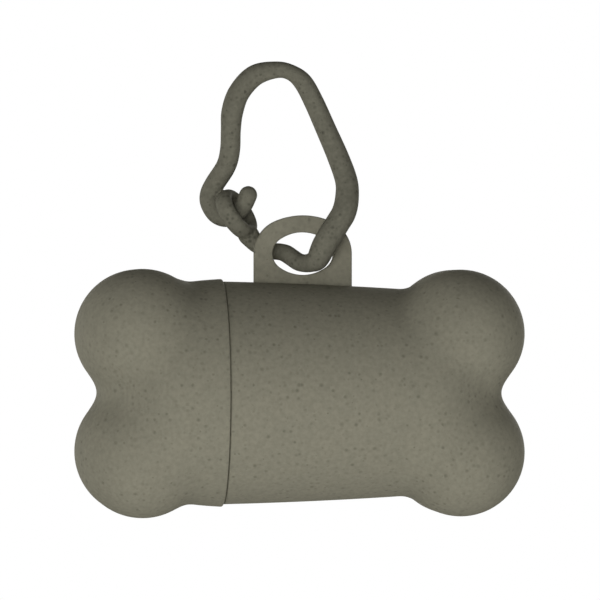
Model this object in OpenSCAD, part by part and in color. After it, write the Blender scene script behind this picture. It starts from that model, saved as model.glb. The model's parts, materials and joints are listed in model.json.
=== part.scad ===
// Dog waste bag dispenser shaped like a bone, hanging from a one-piece moulded clip.
// The bone lies along X with its cap at the left, the bags leave at the back (+Y), and Z points up.
// The origin is the highest point inside the clip's loop, where a lead or a ring carries it.
// Inside the file the bone is measured from its own middle, and the clip from the middle of the tab's hole.

/* [Body shell] */
// Distance from the middle of the bone to the seam between body and cap
seam_back = 13.9; // [8:0.1:16]
// Radius of the body at the seam
body_seam_r = 19.75; // [19.2:0.05:22]
// Radius of the body's barrel where its balls begin
body_far_r = 18.4; // [17.8:0.05:20]
// Distance along the barrel over which the body narrows
body_taper_len = 32.3; // [20:0.1:50]
// Share of the narrowing that is put off towards the far end
taper_bow = 0.5; // [0:0.05:1]
// Distance from the middle of the bone to the closed end of the body's barrel, under its balls
body_end = 30.6; // [29:0.1:36]
// Rounding of that closed end
body_end_round = 10.7; // [8:0.1:14]
// Radius of the body's balls
body_ball_r = 11.35; // [9:0.05:13]
// Distance from the middle of the bone to the centre of the body's balls
body_ball_x = 28.0; // [26:0.1:34]
// Height of the body's balls above and below the axis
body_ball_z = 10.5; // [9:0.05:14]

/* [Cap shell] */
// Radius of the cap at its rim
cap_rim_r = 20.2; // [19.9:0.05:23]
// Radius of the cap's barrel where its balls begin
cap_far_r = 19.6; // [18.8:0.05:22]
// Distance along the barrel over which the cap narrows
cap_taper_len = 6.9; // [4:0.1:20]
// Distance from the middle of the bone to the closed end of the cap's barrel, under its balls
cap_end = 31; // [29:0.1:36]
// Rounding of that closed end
cap_end_round = 10.6; // [8:0.1:14]
// Radius of the cap's balls
cap_ball_r = 11.5; // [9:0.05:13]
// Distance from the middle of the bone to the centre of the cap's balls
cap_ball_x = 28.4; // [26:0.1:34]
// Height of the cap's balls above and below the axis
cap_ball_z = 10.45; // [9:0.05:14]

/* [Balls] */
// How far each ball is drawn out towards the front and the back
ball_stretch = 5.2; // [0:0.1:7]
// Width of the crease between a ball and the barrel, at the top and bottom
crease = 1.8; // [1:0.1:4]
// Width of that crease at the front and back, where it runs out softly
crease_side = 4.2; // [3:0.1:8]
// Width of the notch between the two balls of an end, in the middle
notch = 5.4; // [3:0.1:8]
// Width of that notch at the front and back
notch_side = 7.2; // [4:0.1:10]
// Rounding of the seam edges of body and cap
rim_round = 0.5; // [0.2:0.05:0.8]

/* [Walls and bore] */
// Radius of the straight bore that the roll of bags lies in
bore_r = 16.8; // [15:0.05:17.2]
// Radius of the cap's hollow past the neck
cap_bore_r = 17.8; // [16.8:0.05:18]
// Wall of the closed, rounded ends
end_wall = 1.3; // [1:0.1:2]

/* [Neck and cap joint] */
// Length of the neck that the cap is pushed onto
neck_len = 6; // [4:0.1:9]
// Wall of the neck
neck_wall = 1.5; // [1:0.05:1.6]
// Gap between the neck and the inside of the cap
neck_gap = 0.3; // [0.2:0.05:0.5]
// Height of the low bead on the neck that holds the cap
bead_h = 0.2; // [0.1:0.01:0.25]
// Width of that bead
bead_w = 1.4; // [0.8:0.1:2]
// Gap between the faces of body and cap at the seam
seam_gap = 0.25; // [0.1:0.05:0.5]

/* [Hanging tab] */
// Place of the tab along the bone, from its middle
tab_x = 0.4; // [-4:0.1:6]
// Thickness of the tab
tab_t = 2.2; // [1.8:0.1:3]
// Width of the tab
tab_w = 17.4; // [16:0.1:22]
// Height of the tab's top above the middle of its hole
tab_over = 6.8; // [6.6:0.05:9]
// Radius of the tab's shoulders
shoulder_r = 6.3; // [5:0.1:6.4]
// Height of the middle of the oval hole above the bone's axis
hole_up = 24.7; // [24:0.05:28]
// Width of the oval hole
hole_w = 10.85; // [9.5:0.05:13]
// Height of the oval hole
hole_h = 7.55; // [7:0.05:10]
// Radius of the tighter ends of the oval hole
hole_end_r = 3; // [2.6:0.05:3.3]

/* [Bag slot] */
// Length of the slot that the bags leave by
slot_len = 30; // [20:0.5:36]
// Height of that slot
slot_h = 9; // [7:0.1:11]
// Place of the slot along the bone, from its middle
slot_x = 4; // [0:0.5:8]

/* [Roll of bags] */
// Length of the roll
roll_len = 53; // [40:0.5:55]
// Radius of the roll when full
roll_r = 13.3; // [8:0.1:13.3]
// Place of the middle of the roll along the bone
roll_x = 0.4; // [-2:0.1:2]
// Outer radius of the paper core
core_r = 6; // [4:0.1:7]
// Wall of the paper core
core_wall = 0.7; // [0.4:0.1:1.2]
// Gap left between parts that lie on or in each other
seat_gap = 0.3; // [0.15:0.05:0.4]
// Thickness of the folded film that leaves through the slot
film_t = 0.6; // [0.4:0.1:0.8]
// Width of that film where it is gathered in the slot
film_w = 20; // [10:0.5:20]
// Length of film that hangs outside the slot
film_out = 12; // [5:0.5:14]

/* [Clip] */
// Height of the loop's inner top above the middle of the tab's hole
loop_rise = 31.15; // [28:0.05:36]
// Place of the loop's inner top along the bone, from the middle of the tab's hole
loop_x = -4; // [-6:0.1:-2]
// Radius of the strand at the top of the loop
strand_top_r = 1.5; // [1.2:0.02:1.7]
// Radius of the strand along the left side and the hook
strand_left_r = 1.8; // [1.4:0.02:2]
// Radius of the strand in the bend at the upper left
strand_bend_r = 1.96; // [1.4:0.02:2.2]
// Radius of the strand where it comes down in front of the tab
strand_front_r = 2.2; // [1.6:0.02:2.3]
// Radius of the strand where it crosses the hole and leaves behind the tab
strand_cross_r = 1.6; // [1.4:0.02:1.7]
// Radius of the hook's round tip
tip_r = 1.62; // [1.5:0.02:1.8]
// Gap between the strand and the tab
strand_gap = 0.45; // [0.3:0.05:0.8]
// Inner radius of the eye that the hook's tip goes through
eye_r = 2.65; // [2.4:0.05:3]
// Wall of the eye
eye_wall = 2.2; // [1.8:0.1:2.6]
// Height of the eye along its own axis
eye_h = 3.2; // [2.4:0.1:3.6]

/* [Hidden] */

$fn = 96;
cut = 1;
plastic = [0.49, 0.48, 0.43];
columns = 60;
pocket_columns = 36;
search_steps = 16;
search_far = 48;
// Places on the axis that the skins are seen from
body_eye = 0.36 * body_ball_x;
cap_eye = 0.57 * cap_ball_x;
strand_sides = 12;
strand_steps = 3;
// Angles of the rings on the hook's round nose
nose_leans = [72, 48, 24];

neck_r = bore_r + neck_wall;
skirt_r = neck_r + neck_gap;
skirt_depth = neck_len + seam_gap;
bead_x = neck_len / 2;
// The neck's slanted lead-in, and the play of the bead in its groove
lead = 0.6;
bead_play = 0.1;
// Edge of the wound film, its gap to the core, and how far the core stands out of it
roll_edge = 0.6;
core_gap = 0.1;
core_out = 0.4;

// Soft minimum: two distances run into each other over the width k
function soft_min(a, b, k) =
    let (h = max(k - abs(a - b), 0) / k)
    min(a, b) - h * h * k / 4;

// Where each half is measured, u runs outwards along the bone and is counted from the bone's middle.
// A barrel is [seam place, seam radius, far radius, taper length, closed end, end rounding].
body_barrel = [-seam_back, body_seam_r, body_far_r, body_taper_len, body_end, body_end_round];
cap_barrel = [seam_back, cap_rim_r, cap_far_r, cap_taper_len, cap_end, cap_end_round];
// A pair of balls is [distance along the bone, height, radius].
body_balls = [body_ball_x, body_ball_z, body_ball_r];
cap_balls = [cap_ball_x, cap_ball_z, cap_ball_r];

// Radius of a barrel at the place u
function barrel_r(u, barrel) =
    let (t = max((u - barrel[0]) / barrel[3], 0))
    barrel[1] - (barrel[1] - barrel[2]) * t * (1 - taper_bow + taper_bow * t);

// Distance of a point from a barrel with its rounded end, negative inside
function barrel_gap(p, barrel) =
    let (
        r = barrel[5],
        along = p.x - (barrel[4] - r),
        across = norm([p.y, p.z]) - (barrel_r(min(p.x, barrel[4] - r), barrel) - r)
    )
    norm([max(along, 0), max(across, 0)]) + min(max(along, across), 0) - r;

// Distance of a point from one drawn-out ball, negative inside
function ball_gap(p, balls, side) =
    norm([p.x - balls[0], max(abs(p.y) - ball_stretch, 0), p.z - side * balls[1]]) - balls[2];

// Distance of a point from half of the bone: the barrel and its two balls run softly together
function half_gap(p, barrel, balls) =
    let (
        aside = (p.y / bore_r) ^ 2,
        pair_width = notch + (notch_side - notch) * aside,
        pair = soft_min(ball_gap(p, balls, 1), ball_gap(p, balls, -1), pair_width)
    )
    soft_min(barrel_gap(p, barrel), pair, crease + (crease_side - crease) * aside);

// How far a ray goes from a point inside the form to its skin, by halving the search
function reach(skin, from, dir, near, far, steps) =
    let (mid = (near + far) / 2)
    steps == 0 ? mid
    : skin(from + mid * dir) < 0 ? reach(skin, from, dir, mid, far, steps - 1)
    : reach(skin, from, dir, near, mid, steps - 1);

// One ring of points on the skin, seen from the place u on the axis under the angle lean
function skin_ring(skin, u, lean, trim, count) = [
    for (j = [0 : count - 1])
        let (
            a = 360 * j / count,
            dir = [cos(lean), sin(lean) * cos(a), sin(lean) * sin(a)],
            from = [u, 0, 0]
        )
        from + (reach(skin, from, dir, 0, search_far, search_steps) - trim) * dir
];

// The point where the skin meets the axis
function skin_pole(skin, u) = [u + reach(skin, [u, 0, 0], [1, 0, 0], 0, search_far, search_steps), 0, 0];

// How much a rounded edge takes off at the distance s from the face
function edge_trim(s) = rim_round - sqrt(max(rim_round ^ 2 - max(rim_round - s, 0) ^ 2, 0));

// A closed form through rings of points, with a middle point at each end
module loft(rings, first, last) {
    n = len(rings[0]);
    m = len(rings);
    points = [for (ring = rings, p = ring) p];
    sides = [
        for (i = [0 : m - 2], j = [0 : n - 1])
            let (a = i * n + j, b = i * n + (j + 1) % n)
            each [[a, a + n, b + n], [a, b + n, b]]
    ];
    ends = [
        for (j = [0 : n - 1])
            let (k = (j + 1) % n, top = (m - 1) * n)
            each [[m * n, j, k], [m * n + 1, top + k, top + j]]
    ];
    polyhedron(concat(points, [first, last]), concat(sides, ends), convexity = 6);
}

// Half of the bone as a closed skin, from its seam at u = seam to its balls, seen from the place eye
module half_bone(barrel, balls, seam, eye) {
    skin = function(p) half_gap(p, barrel, balls);
    edge_places = [for (part = [0, 0.12, 0.4, 1]) part * rim_round];
    barrel_rings = 4;
    lean_rings = 24;
    edges = [for (s = edge_places) skin_ring(skin, seam + s, 90, edge_trim(s), columns)];
    sides = [
        for (i = [1 : barrel_rings])
            skin_ring(skin, seam + rim_round + (eye - seam - rim_round) * i / barrel_rings, 90, 0, columns)
    ];
    end = [
        for (i = [1 : lean_rings - 1])
            skin_ring(skin, eye, 90 * (1 - i / lean_rings), 0, columns)
    ];
    loft(concat(edges, sides, end), [seam, 0, 0], skin_pole(skin, eye));
}

// The hollow inside the rounded end of a half, one wall in from its skin
module end_hollow(barrel, balls, from) {
    skin = function(p) half_gap(p, barrel, balls) + end_wall;
    lean_rings = 12;
    rings = [
        for (i = [0 : lean_rings - 1])
            skin_ring(skin, from, 90 * (1 - i / lean_rings), 0, pocket_columns)
    ];
    loft(rings, [from, 0, 0], skin_pole(skin, from));
}

// A profile of [radius, place along X] points, turned round the bone's axis
module turned(profile) {
    rotate([0, 90, 0]) rotate_extrude() polygon(profile);
}

// A straight round bar along X between two places
module round_x(r, from, to) {
    turned([[0, from], [r, from], [r, to], [0, to]]);
}

// Places: the middle of the tab's hole, and the middle of the bone
module at_hole() {
    translate([-loop_x, 0, -loop_rise]) children();
}
module at_bone() {
    at_hole() translate([-tab_x, 0, -hole_up]) children();
}

// An oval is [half width, half height, radius of its ends]. It has four arcs: two tight ends, and two flatter
// sides that run into them under the angle oval_turn.
tab_oval = [tab_w / 2, tab_over, shoulder_r];
hole_oval = [hole_w / 2, hole_h / 2, hole_end_r];
function oval_side_r(oval) =
    ((oval[0] - oval[2]) ^ 2 + oval[1] ^ 2 - oval[2] ^ 2) / (2 * (oval[1] - oval[2]));
function oval_turn(oval) = atan2(oval_side_r(oval) - oval[1], oval[0] - oval[2]);
arc_steps = 10;
function arc(middle, r, from, to) = [
    for (i = [0 : arc_steps - 1])
        let (a = from + (to - from) * i / arc_steps)
        middle + r * [cos(a), sin(a)]
];

// Upper side of an oval from right to left
function oval_top(oval, right, left) =
    let (end = [oval[0] - oval[2], 0], r = oval_side_r(oval), turn = oval_turn(oval))
    concat(
        arc(end, oval[2], right, turn),
        arc([0, oval[1] - r], r, turn, 180 - turn),
        arc(-end, oval[2], 180 - turn, left)
    );

// A whole oval
function oval_ring(oval) =
    let (r = oval_side_r(oval), turn = oval_turn(oval))
    concat(oval_top(oval, -turn, 180 + turn), arc([0, r - oval[1]], r, 180 + turn, 360 - turn));

// Upright tab: straight sides up to the middle of the hole, then the upper side of an oval over it
module tab() {
    foot = hole_up - (body_far_r + bore_r) / 2;
    half = tab_w / 2;
    outline = concat([[half, -foot]], oval_top(tab_oval, 0, 180), [[-half, 0], [-half, -foot]]);
    translate([tab_x, 0, hole_up]) rotate([90, 0, 0]) translate([0, 0, -tab_t / 2])
        linear_extrude(tab_t) difference() {
            polygon(outline);
            polygon(oval_ring(hole_oval));
        }
}

// Neck with its lead-in and the low bead that the cap snaps over
module neck() {
    root = -seam_back;
    turned([
        [bore_r - cut, root + cut], [bore_r - cut, root - neck_len],
        [neck_r - lead, root - neck_len], [neck_r, root - neck_len + lead],
        [neck_r, root - bead_x - bead_w / 2], [neck_r + bead_h, root - bead_x - bead_w / 4],
        [neck_r + bead_h, root - bead_x + bead_w / 4], [neck_r, root - bead_x + bead_w / 2],
        [neck_r, root + cut]
    ]);
}

// Slot through the back wall, along the bone
module slot_cut() {
    r = slot_h / 2;
    depth = body_seam_r + cut;
    translate([slot_x, 0, 0]) rotate([-90, 0, 0]) {
        for (side = [-1, 1]) translate([side * (slot_len / 2 - r), 0, 0]) cylinder(r = r, h = depth);
        translate([-(slot_len / 2 - r), -r, 0]) cube([slot_len - slot_h, slot_h, depth]);
    }
}

module dispenser_body() {
    round_start = body_end - body_end_round;
    color(plastic) at_bone() difference() {
        union() {
            half_bone(body_barrel, body_balls, -seam_back, body_eye);
            neck();
            tab();
        }
        intersection() {
            round_x(bore_r, -seam_back - neck_len - cut, body_end + body_ball_r);
            union() {
                round_x(bore_r + cut, -seam_back - neck_len - cut, round_start);
                end_hollow(body_barrel, body_balls, round_start - cut);
            }
        }
        slot_cut();
    }
}

module end_cap() {
    round_start = cap_end - cap_end_round;
    seam = seam_back + seam_gap;
    groove = bead_h + bead_play;
    color(plastic) at_bone() mirror([1, 0, 0]) difference() {
        half_bone(cap_barrel, cap_balls, seam, cap_eye);
        turned([
            [0, seam - cut], [skirt_r + seam_gap, seam - cut], [skirt_r + seam_gap, seam],
            [skirt_r, seam + seam_gap],
            [skirt_r, seam_back + bead_x - bead_w / 2], [skirt_r + groove, seam_back + bead_x - bead_w / 4],
            [skirt_r + groove, seam_back + bead_x + bead_w / 4], [skirt_r, seam_back + bead_x + bead_w / 2],
            [skirt_r, seam_back + skirt_depth], [0, seam_back + skirt_depth]
        ]);
        intersection() {
            round_x(cap_bore_r, seam, cap_end + cap_ball_r);
            union() {
                round_x(cap_bore_r + cut, seam, round_start);
                end_hollow(cap_barrel, cap_balls, round_start - cut);
            }
        }
    }
}

// The roll lies on the bottom of the bore
roll_drop = bore_r - roll_r - seat_gap;
module at_roll() {
    at_bone() translate([roll_x, 0, -roll_drop]) children();
}

module bag_roll() {
    inner = core_r + core_gap;
    half = roll_len / 2;
    color([0.36, 0.5, 0.32]) at_roll() turned([
        [inner, -half], [roll_r - roll_edge, -half], [roll_r, -half + roll_edge],
        [roll_r, half - roll_edge], [roll_r - roll_edge, half], [inner, half]
    ]);
}

module roll_core() {
    half = roll_len / 2 + core_out;
    color([0.7, 0.6, 0.45]) at_roll() turned([
        [core_r - core_wall, -half], [core_r, -half], [core_r, half], [core_r - core_wall, half]
    ]);
}

// Middle line of the film in the YZ plane: off the roll, over the slot's lower lip, then down outside
film_lip = -slot_h / 2 + seat_gap + film_t / 2;
film_bend_r = 2.2;
film_turn = 75;
film_rise = 0.8;
function film_line() =
    let (
        start_y = roll_r + seat_gap + film_t / 2,
        lip_y = body_seam_r + seat_gap,
        turn = [for (a = [0 : 15 : film_turn]) [lip_y + film_bend_r * sin(a), film_lip - film_bend_r * (1 - cos(a))]],
        end = turn[len(turn) - 1]
    )
    concat([[start_y, film_lip + film_rise]], turn, [end + film_out * [cos(film_turn), -sin(film_turn)]]);

// A strip of even thickness along a line of points
module strip(line, t) {
    n = len(line);
    way = [for (i = [0 : n - 1]) let (d = line[min(i + 1, n - 1)] - line[max(i - 1, 0)]) d / norm(d)];
    over = [for (i = [0 : n - 1]) line[i] + t / 2 * [-way[i].y, way[i].x]];
    under = [for (i = [n - 1 : -1 : 0]) line[i] - t / 2 * [-way[i].y, way[i].x]];
    polygon(concat(over, under));
}

module leading_bag() {
    color([0.36, 0.5, 0.32]) at_bone() translate([slot_x - film_w / 2, 0, 0])
        rotate([90, 0, 90]) linear_extrude(film_w) strip(film_line(), film_t);
}

// The clip's middle line, from the hook's tip round the loop to the eye: [x, y, z, radius].
// It is measured from the middle of the tab's hole. The strand passes in front of the tab on the right
// and behind it on the left, and dips to the lower edge of the hole between the two.
front_y = -(tab_t / 2 + strand_front_r + strand_gap);
behind_y = tab_t / 2 + strand_cross_r + strand_gap;
dip_z = -hole_h / 2 + strand_cross_r + strand_gap;
strand_line = [
    [-9.65, 0.6, 10.4, tip_r],
    [-10.4, 1.9, 8.6, tip_r],
    [-11.55, behind_y, 7.05, 1.55],
    [-13.1, 4.7, 6.35, 1.6],
    [-14.85, 5.4, 7, 1.68],
    [-16.05, 5.6, 8.85, 1.72],
    [-16.15, 5.7, 10.55, 1.76],
    [-15.3, 4.9, 12.45, strand_left_r],
    [-13.4, 3.3, 15.6, strand_left_r],
    [-12.8, 1.6, 18.45, strand_left_r],
    [-12.75, 0.5, 22, strand_left_r],
    [-12.5, 0, 25.3, strand_bend_r],
    [-11.25, 0, 28.7, strand_bend_r],
    [-8.45, 0, 31.65, 1.9],
    [loop_x - 0.6, 0, loop_rise + strand_top_r - 0.02, strand_top_r],
    [-2.1, 0, 32.15, 1.44],
    [0.05, 0, 30.45, 1.7],
    [1.95, 0, 27.05, 1.78],
    [4.2, -0.3, 21.95, 1.84],
    [6.3, -1, 16.95, 1.94],
    [7.65, -1.8, 12.75, 2.02],
    [7.6, -2.8, 9.55, 2.14],
    [7, -3.5, 7.25, strand_front_r],
    [6, front_y, 5.55, strand_front_r],
    [3.65, front_y, 1.75, strand_front_r],
    [2.4, -3.1, -0.9, 2],
    [1.35, -2, -1.58, 1.72],
    [0.3, -0.8, dip_z, strand_cross_r],
    [-0.7, 0.5, -1.45, strand_cross_r],
    [-1.65, 1.5, -0.77, strand_cross_r],
    [-2.65, 2.4, -0.03, strand_cross_r],
    [-3.65, 2.95, 0.33, 1.52],
    [-4.75, behind_y, 0.45, 1.5],
    [-6.5, behind_y + 0.1, 0.9, 1.52],
    [-8.1, behind_y, 1.85, strand_cross_r],
    [-9.55, 2.85, 3.5, 1.88]
];

// The eye: its middle, and its axis, which the hook's tip follows
eye_at = [-11.55, behind_y, 7.05];
eye_axis = [0.755, -0.39, 0.525];

function unit(v) = v / norm(v);
function place(q) = [q[0], q[1], q[2]];

// A smooth curve through the points p, which may have any number of entries
function curve_at(p, i, t) =
    let (a = p[max(i - 1, 0)], b = p[i], c = p[i + 1], d = p[min(i + 2, len(p) - 1)])
    (2 * b + (c - a) * t + (2 * a - 5 * b + 4 * c - d) * t ^ 2 + (3 * b - a - 3 * c + d) * t ^ 3) / 2;
function curve(p, steps) = [
    for (i = [0 : len(p) - 2], s = [0 : steps - 1]) curve_at(p, i, s / steps),
    p[len(p) - 1]
];

// Direction of a path at each of its points
function ways(path) = [
    for (i = [0 : len(path) - 1])
        unit(place(path[min(i + 1, len(path) - 1)]) - place(path[max(i - 1, 0)]))
];

// A direction square to each way, carried along the path without twist
function square_to(side, way) = unit(side - (side * way) * way);
function carried(way) = [
    for (i = 0, side = square_to([0, 1, 0], way[0]); i < len(way);
        i = i + 1, side = i < len(way) ? square_to(side, way[i]) : side) side
];

// Rings of points round a path of [x, y, z, radius], with a round nose on its first end
function strand_rings(path) =
    let (
        way = ways(path),
        side = carried(way),
        ring = function(middle, r, w, s) [
            for (j = [0 : strand_sides - 1])
                let (a = 360 * j / strand_sides)
                middle + r * (cos(a) * s + sin(a) * cross(w, s))
        ],
        nose = [
            for (a = nose_leans)
                ring(place(path[0]) - path[0][3] * sin(a) * way[0], path[0][3] * cos(a), way[0], side[0])
        ]
    )
    concat(nose, [for (i = [0 : len(path) - 1]) ring(place(path[i]), path[i][3], way[i], side[i])]);

module strand() {
    path = curve(strand_line, strand_steps);
    tip = place(path[0]);
    nose = tip - path[0][3] * unit(place(path[1]) - tip);
    loft(strand_rings(path), nose, place(path[len(path) - 1]));
}

// Band of the eye, oval in section
module eye_ring() {
    turn = atan2(eye_axis.y, eye_axis.x);
    lean = acos(eye_axis.z / norm(eye_axis));
    section = [
        for (a = [15 : 30 : 345])
            [eye_r + eye_wall / 2 * (1 + cos(a) / cos(15)), eye_h / 2 * sin(a) / cos(15)]
    ];
    translate(eye_at) rotate([0, lean, turn]) rotate_extrude($fn = 48) polygon(section);
}

module clip() {
    color(plastic) at_hole() {
        strand();
        eye_ring();
    }
}

dispenser_body();
end_cap();
clip();
bag_roll();
roll_core();
leading_bag();
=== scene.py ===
"""Bone-shaped dog waste bag dispenser: its visible pieces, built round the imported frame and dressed.

Sizes are in millimetres, and are turned into metres as each mesh is placed. The bone is measured
from its own middle, and the clip from the middle of the hole in the hanging tab.
"""

import json
import logging
import math
from dataclasses import dataclass, field
from enum import Enum
from typing import Callable, Dict, List, Optional, Sequence, Tuple, Union

import bmesh
import bpy
import numpy as np
from mathutils import Matrix, Vector

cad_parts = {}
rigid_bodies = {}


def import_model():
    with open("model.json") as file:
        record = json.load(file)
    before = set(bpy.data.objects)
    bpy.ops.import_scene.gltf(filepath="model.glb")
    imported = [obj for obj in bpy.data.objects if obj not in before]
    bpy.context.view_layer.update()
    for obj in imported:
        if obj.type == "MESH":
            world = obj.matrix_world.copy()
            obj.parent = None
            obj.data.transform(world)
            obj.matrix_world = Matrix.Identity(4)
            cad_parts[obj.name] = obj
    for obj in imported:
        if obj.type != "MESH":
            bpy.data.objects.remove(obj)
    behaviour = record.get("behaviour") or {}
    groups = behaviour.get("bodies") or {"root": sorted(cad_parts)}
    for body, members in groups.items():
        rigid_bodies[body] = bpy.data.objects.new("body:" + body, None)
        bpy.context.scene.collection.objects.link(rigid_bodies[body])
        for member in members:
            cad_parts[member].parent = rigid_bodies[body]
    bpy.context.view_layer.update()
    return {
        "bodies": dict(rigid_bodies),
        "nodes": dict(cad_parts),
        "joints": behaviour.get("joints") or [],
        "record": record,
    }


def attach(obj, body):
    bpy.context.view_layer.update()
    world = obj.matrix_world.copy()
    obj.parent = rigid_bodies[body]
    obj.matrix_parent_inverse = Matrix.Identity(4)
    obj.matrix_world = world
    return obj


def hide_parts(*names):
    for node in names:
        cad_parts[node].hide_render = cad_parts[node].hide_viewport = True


MM = 0.001
WHITE = (1.0, 1.0, 1.0, 1.0)
LOG = logging.getLogger("dispenser")
Colour = Tuple[float, float, float]
Point = Tuple[float, float, float]
Profile = List[Tuple[float, float]]
Skin = Callable[[np.ndarray], np.ndarray]
Shape = bmesh.types.BMesh
Material = bpy.types.Material
Object = bpy.types.Object
Value = Union["Channel", float]
Curved = Union[np.ndarray, Vector]

# Casting onto a skin: the furthest that it may lie, in mm, and how often the range is halved.
FARTHEST_SKIN = 48.0
HALVINGS = 26

# Points that lie this near are one, and edges this short are taken out, in mm.
SKIN_GAP = 2e-3
SLIVER = 2e-3

# Angles of a half-round bead's section.
HALF_TURN = [math.pi * step / 8 for step in range(9)]


class Body(Enum):
    """Bodies of the frame that the pieces ride on."""

    CLIP = "clip"
    DISPENSER = "dispenser"
    CAP = "cap"
    ROLL = "roll"


class Slot(Enum):
    """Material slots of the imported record."""

    SHELL = "shell_plastic"
    CLIP = "clip_plastic"
    FILM = "bag_film"
    PAPER = "core_paper"


class Channel:
    """A shader socket that takes part in sums, so that an expression adds its Math nodes."""

    def __init__(self, sheet: "NodeSheet", socket: bpy.types.NodeSocket) -> None:
        """Wraps one output socket of a node sheet."""
        self.sheet = sheet
        self.socket = socket

    def _math(self, operation: str, *values: Value, clamp: bool = False) -> "Channel":
        """Adds one Math node, whose result may be kept between 0 and 1, and gives its output."""
        settings = {"operation": operation, "use_clamp": clamp}
        return self.sheet.node("ShaderNodeMath", settings, dict(enumerate(values)))[0]

    def __add__(self, other: Value) -> "Channel":
        """Sum."""
        return self._math("ADD", self, other)

    __radd__ = __add__

    def __sub__(self, other: Value) -> "Channel":
        """Difference."""
        return self._math("SUBTRACT", self, other)

    def __rsub__(self, other: float) -> "Channel":
        """Difference with a number on the left."""
        return self._math("SUBTRACT", other, self)

    def __mul__(self, other: Value) -> "Channel":
        """Product."""
        return self._math("MULTIPLY", self, other)

    __rmul__ = __mul__

    def __truediv__(self, other: Value) -> "Channel":
        """Quotient."""
        return self._math("DIVIDE", self, other)

    def __gt__(self, other: Value) -> "Channel":
        """1 where this is greater, and 0 elsewhere."""
        return self._math("GREATER_THAN", self, other)

    def __lt__(self, other: Value) -> "Channel":
        """1 where this is less, and 0 elsewhere."""
        return self._math("LESS_THAN", self, other)

    def clamped(self) -> "Channel":
        """This value kept between 0 and 1."""
        return self._math("ADD", self, 0.0, clamp=True)

    def sine(self) -> "Channel":
        """Sine of this value, in radians."""
        return self._math("SINE", self)

    def stronger(self, other: "Channel") -> "Channel":
        """The greater of two values."""
        return self._math("MAXIMUM", self, other)


class NodeSheet:
    """The nodes of one material or of the world."""

    def __init__(self, owner: Union[Material, bpy.types.World]) -> None:
        """Starts an empty sheet.

        Args:
            owner: The material or world whose nodes these are.
        """
        owner.use_nodes = True
        self.owner = owner
        self.tree = owner.node_tree
        self.tree.nodes.clear()

    def node(
        self, kind: str, settings: Optional[Dict[str, object]] = None,
        inputs: Optional[Dict[Union[int, str], object]] = None,
    ) -> List[Channel]:
        """Adds a node, sets it, and fills or links its sockets.

        Args:
            kind: The node's type.
            settings: Properties of the node, set first.
            inputs: Values or channels by socket name or number.

        Returns:
            The node's outputs in order.
        """
        made = self.tree.nodes.new(kind)
        for key, value in (settings or {}).items():
            setattr(made, key, value)
        for key, value in (inputs or {}).items():
            socket = made.inputs[key]
            if isinstance(value, Channel):
                self.tree.links.new(value.socket, socket)
            else:
                socket.default_value = value
        return [Channel(self, output) for output in made.outputs]

    def here(self) -> Channel:
        """Object coordinates, in metres."""
        return self.node("ShaderNodeTexCoord")[3]

    def noise(self, where: Channel, grain_mm: float, detail: float = 3.0) -> Channel:
        """Soft noise from 0 to 1, with grains of a size and some finer layers."""
        inputs = {"Vector": where, "Scale": 1.0 / (grain_mm * MM), "Detail": detail}
        return self.node("ShaderNodeTexNoise", None, inputs)[0]

    def mixed(self, first: object, second: object, share: Value) -> Channel:
        """Blends two colours by the share of the second."""
        ends = [(*end, 1.0) if isinstance(end, tuple) else end for end in (first, second)]
        return self.node("ShaderNodeMix", {"data_type": "RGBA"}, {0: share, 6: ends[0], 7: ends[1]})[2]

    def bump(self, height: Channel, depth_mm: float, strength: float) -> Channel:
        """A normal bent by a height, where 1 stands depth_mm proud."""
        inputs = {"Height": height, "Distance": depth_mm * MM, "Strength": strength}
        return self.node("ShaderNodeBump", None, inputs)[0]

    def seen(self) -> Channel:
        """1 for what the camera sees, directly, in a reflection or through glass, and 0 otherwise."""
        camera, _, _, glossy, _, _, transmitted = self.node("ShaderNodeLightPath")[:7]
        return camera.stronger(glossy).stronger(transmitted)

    def finish(self, sockets: Dict[str, object]) -> Material:
        """Adds the main shader and the output.

        Args:
            sockets: Values and channels of the shader's sockets.

        Returns:
            The finished material.
        """
        shader = self.node("ShaderNodeBsdfPrincipled", None, sockets)[0]
        self.node("ShaderNodeOutputMaterial", None, {0: shader})
        return self.owner


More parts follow.
